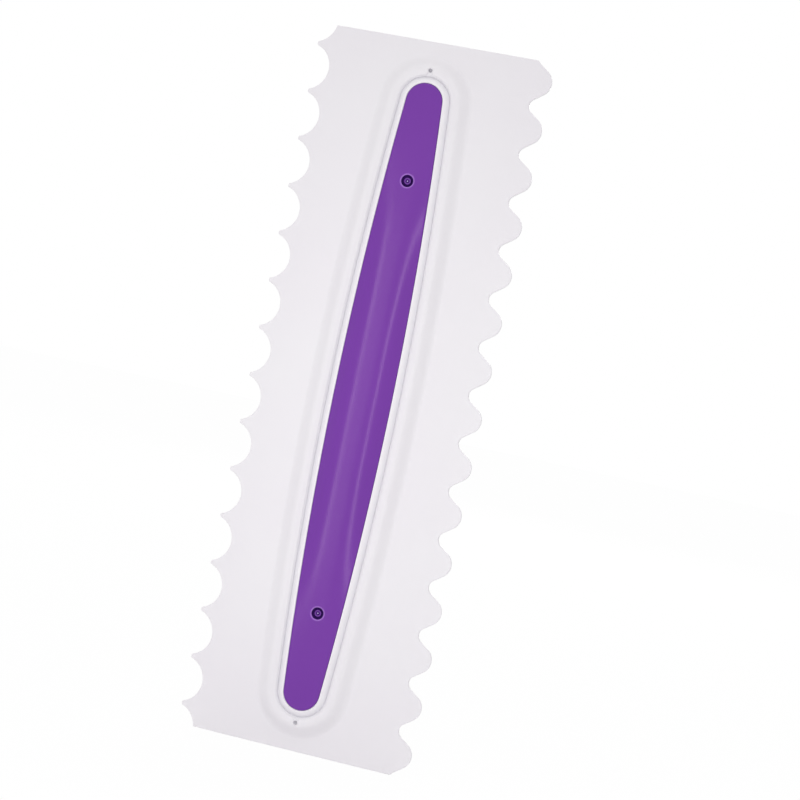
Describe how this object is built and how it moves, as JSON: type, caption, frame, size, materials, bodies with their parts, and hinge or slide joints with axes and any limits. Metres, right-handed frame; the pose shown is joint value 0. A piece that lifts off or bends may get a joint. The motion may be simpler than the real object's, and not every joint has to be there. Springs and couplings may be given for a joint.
{
  "type": "icing smoother",
  "caption": "Tall flat icing comb with a scalloped edge, a waved edge and a long crowned grip pinned on each face.",
  "frame": {"origin": "middle of the lower straight end, which the tool stands on", "axes": "+Z along the blade's length, +X from the scalloped edge to the waved edge, -Y out of the front grip"},
  "size_m": [0.0762, 0.0112, 0.2286],
  "materials": {
    "blade": "white moulded plastic, smooth satin",
    "carrier": "white moulded plastic, smooth satin",
    "pad": "purple moulded plastic, soft gloss",
    "pin": "purple moulded plastic, soft gloss"
  },
  "bodies": {
    "root": {"comb_blade": "blade", "front_carrier": "carrier", "rear_carrier": "carrier", "front_pad": "pad", "rear_pad": "pad", "upper_pin": "pin", "lower_pin": "pin"}
  },
  "joints": []
}
